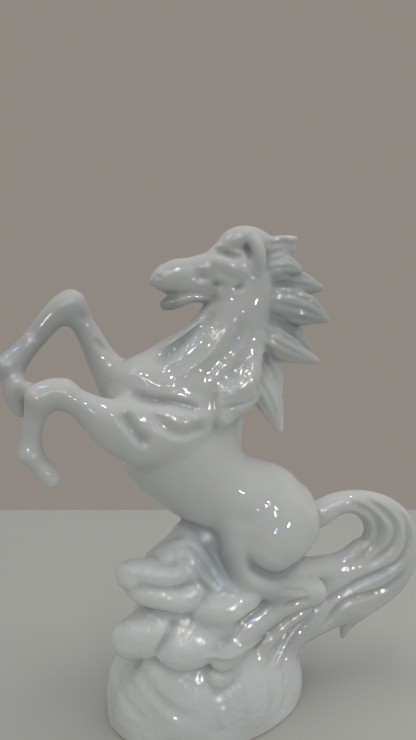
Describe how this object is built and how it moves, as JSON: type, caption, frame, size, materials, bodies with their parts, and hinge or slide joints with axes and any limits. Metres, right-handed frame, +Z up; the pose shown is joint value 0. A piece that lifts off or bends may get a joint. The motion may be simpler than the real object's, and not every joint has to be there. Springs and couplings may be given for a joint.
{
  "type": "porcelain horse figurine",
  "caption": "White glazed porcelain figurine of a rearing horse with flying mane and looped tail, carried by a rock mound that stands on a flat foot rim.",
  "frame": {"origin": "middle of the figurine's box, on the surface that the foot rim stands on", "axes": "+Z up, -X the way the horse looks, -Y its near (left) side"},
  "size_m": [0.2566, 0.092, 0.2811],
  "materials": {
    "horse_glaze": "clear gloss glaze over white porcelain",
    "rock_glaze": "clear gloss glaze, pooled a little thicker and cooler in the hollows of the rock"
  },
  "bodies": {
    "root": {"trunk": "horse_glaze", "neck": "horse_glaze", "head": "horse_glaze", "lower_jaw": "horse_glaze", "near_ear": "horse_glaze", "off_ear": "horse_glaze", "forelock": "horse_glaze", "mane_lock_1": "horse_glaze", "mane_lock_2": "horse_glaze", "mane_lock_3": "horse_glaze", "mane_lock_4": "horse_glaze", "mane_lock_5": "horse_glaze", "mane_lock_6": "horse_glaze", "mane_lock_7": "horse_glaze", "mane_lock_8": "horse_glaze", "near_curl_1": "horse_glaze", "near_curl_2": "horse_glaze", "withers_lock": "horse_glaze", "near_foreleg": "horse_glaze", "off_foreleg": "horse_glaze", "near_hind_leg": "horse_glaze", "off_hind_leg": "horse_glaze", "tail": "horse_glaze", "tail_lock": "horse_glaze", "base_mound": "rock_glaze", "rock_crest": "rock_glaze", "upper_ledge": "rock_glaze", "second_ledge": "rock_glaze", "lower_left_slab": "rock_glaze", "lower_mid_slab": "rock_glaze", "right_slab": "rock_glaze", "off_side_slab": "rock_glaze", "hoof_rest": "rock_glaze"}
  },
  "joints": []
}
